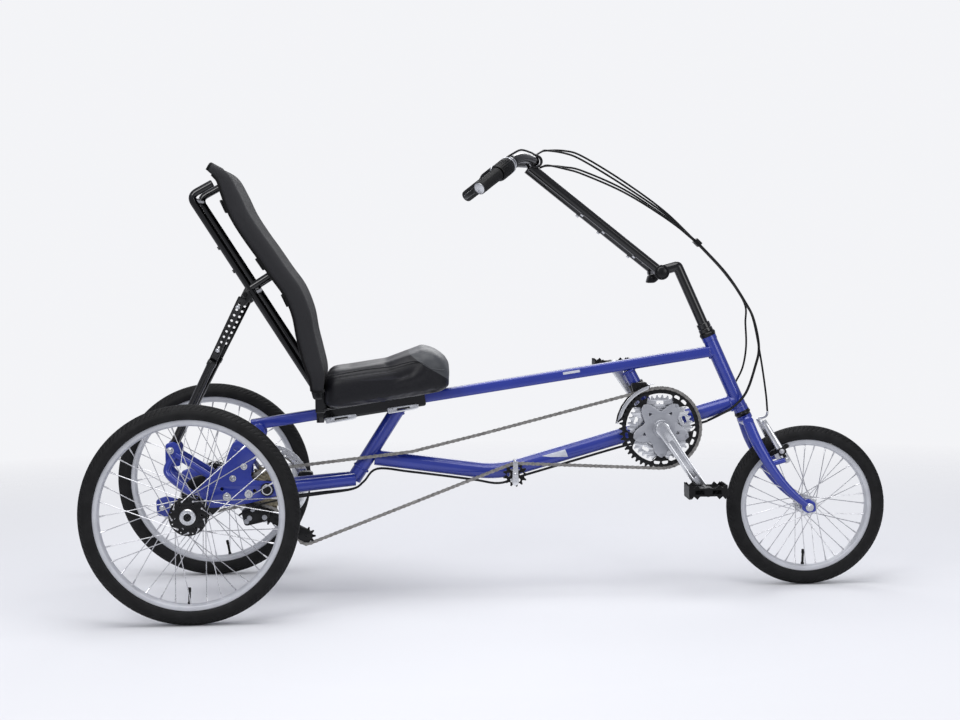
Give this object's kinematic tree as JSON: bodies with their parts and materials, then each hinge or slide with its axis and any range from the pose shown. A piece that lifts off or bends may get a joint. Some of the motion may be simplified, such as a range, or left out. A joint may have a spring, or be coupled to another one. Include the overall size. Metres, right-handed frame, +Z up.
{
  "type": "recumbent trike",
  "caption": "Recumbent delta trike with a low blue tube frame, sling seat, tilted handlebar mast, small front wheel and two rear wheels.",
  "frame": {"origin": "on the ground at the middle of the overall length and width", "axes": "+X forward, +Y to the rider's left, +Z up"},
  "size_m": [1.9047, 0.789, 1.0668],
  "materials": {
    "blue_paint": "gloss",
    "black_paint": "satin",
    "black_plastic": "matte",
    "alloy": "satin",
    "steel": "satin",
    "tyre_rubber": "matte",
    "grip_rubber": "matte",
    "cushion_vinyl": "satin",
    "sling_fabric": "woven"
  },
  "bodies": {
    "frame": {"head_tube": "blue_paint", "headset": "black_paint", "top_tube": "blue_paint", "lower_tube": "blue_paint", "seat_stay": "blue_paint", "bottom_bracket": "blue_paint", "rear_stays": "blue_paint", "drive_plates": "blue_paint", "rear_loop": "blue_paint", "axle_housing": "blue_paint", "axle_sprocket": "black_paint", "cassette": "steel", "brake_disc": "steel", "rear_derailleur": "black_plastic", "front_derailleur": "alloy", "drive_chain": "steel", "rear_chain": "steel", "chain_idler": "black_plastic", "seat_base": "black_paint", "seat_cushion": "cushion_vinyl", "seat_levers": "alloy", "seat_rail_left": "black_paint", "seat_rail_right": "black_paint", "seat_cross_tubes": "black_paint", "seat_back_mesh": "sling_fabric", "recline_strut_left": "black_paint", "recline_strut_right": "black_paint", "frame_cables": "black_plastic", "control_cables": "black_plastic"},
    "steering": {"fork": "blue_paint", "stem_riser": "black_paint", "stem_clamp": "black_paint", "front_brake": "alloy", "front_brake_cable": "black_plastic", "upper_cables": "black_plastic"},
    "handlebar_mast": {"mast": "black_paint", "handlebar": "black_paint", "grip_left": "grip_rubber", "grip_right": "grip_rubber", "shifters": "black_plastic", "brake_levers": "black_paint"},
    "front_wheel": {"front_tyre": "tyre_rubber", "front_rim": "alloy", "front_hub": "alloy"},
    "rear_wheel_left": {"rear_tyre_left": "tyre_rubber", "rear_rim_left": "alloy", "rear_hub_left": "black_paint"},
    "rear_wheel_right": {"rear_tyre_right": "tyre_rubber", "rear_rim_right": "alloy", "rear_hub_right": "black_paint"},
    "crankset": {"chainrings": "steel", "crank_right": "alloy", "crank_left": "alloy"},
    "right_pedal": {"pedal_right": "black_plastic"},
    "left_pedal": {"pedal_left": "black_plastic"}
  },
  "joints": [
    {"name": "steer", "type": "hinge", "parent": "frame", "child": "steering", "pos_m": [0.603, 0, 0.428], "axis": [-0.3987, 0, 0.9171], "range_deg": [-38, 38], "deforming": ["control_cables"]},
    {"name": "mast_tilt", "type": "hinge", "parent": "steering", "child": "handlebar_mast", "pos_m": [0.402, 0, 0.768], "axis": [0, 1, 0], "range_deg": [-12, 20], "deforming": ["upper_cables"]},
    {"name": "front_wheel_spin", "type": "hinge", "parent": "steering", "child": "front_wheel", "pos_m": [0.75808, 0, 0.19435], "axis": [0, 1, 0], "continuous": true},
    {"name": "rear_wheel_left_spin", "type": "hinge", "parent": "frame", "child": "rear_wheel_left", "pos_m": [-0.70493, 0.3505, 0.2475], "axis": [0, 1, 0], "continuous": true},
    {"name": "rear_wheel_right_spin", "type": "hinge", "parent": "frame", "child": "rear_wheel_right", "pos_m": [-0.70493, -0.3505, 0.2475], "axis": [0, 1, 0], "continuous": true},
    {"name": "crank_spin", "type": "hinge", "parent": "frame", "child": "crankset", "pos_m": [0.397, 0, 0.394], "axis": [0, 1, 0], "continuous": true},
    {"name": "pedal_right_spin", "type": "hinge", "parent": "crankset", "child": "right_pedal", "pos_m": [0.49033, -0.13, 0.25191], "axis": [0, 1, 0], "continuous": true},
    {"name": "pedal_left_spin", "type": "hinge", "parent": "crankset", "child": "left_pedal", "pos_m": [0.30367, 0.13, 0.53609], "axis": [0, 1, 0], "continuous": true}
  ]
}
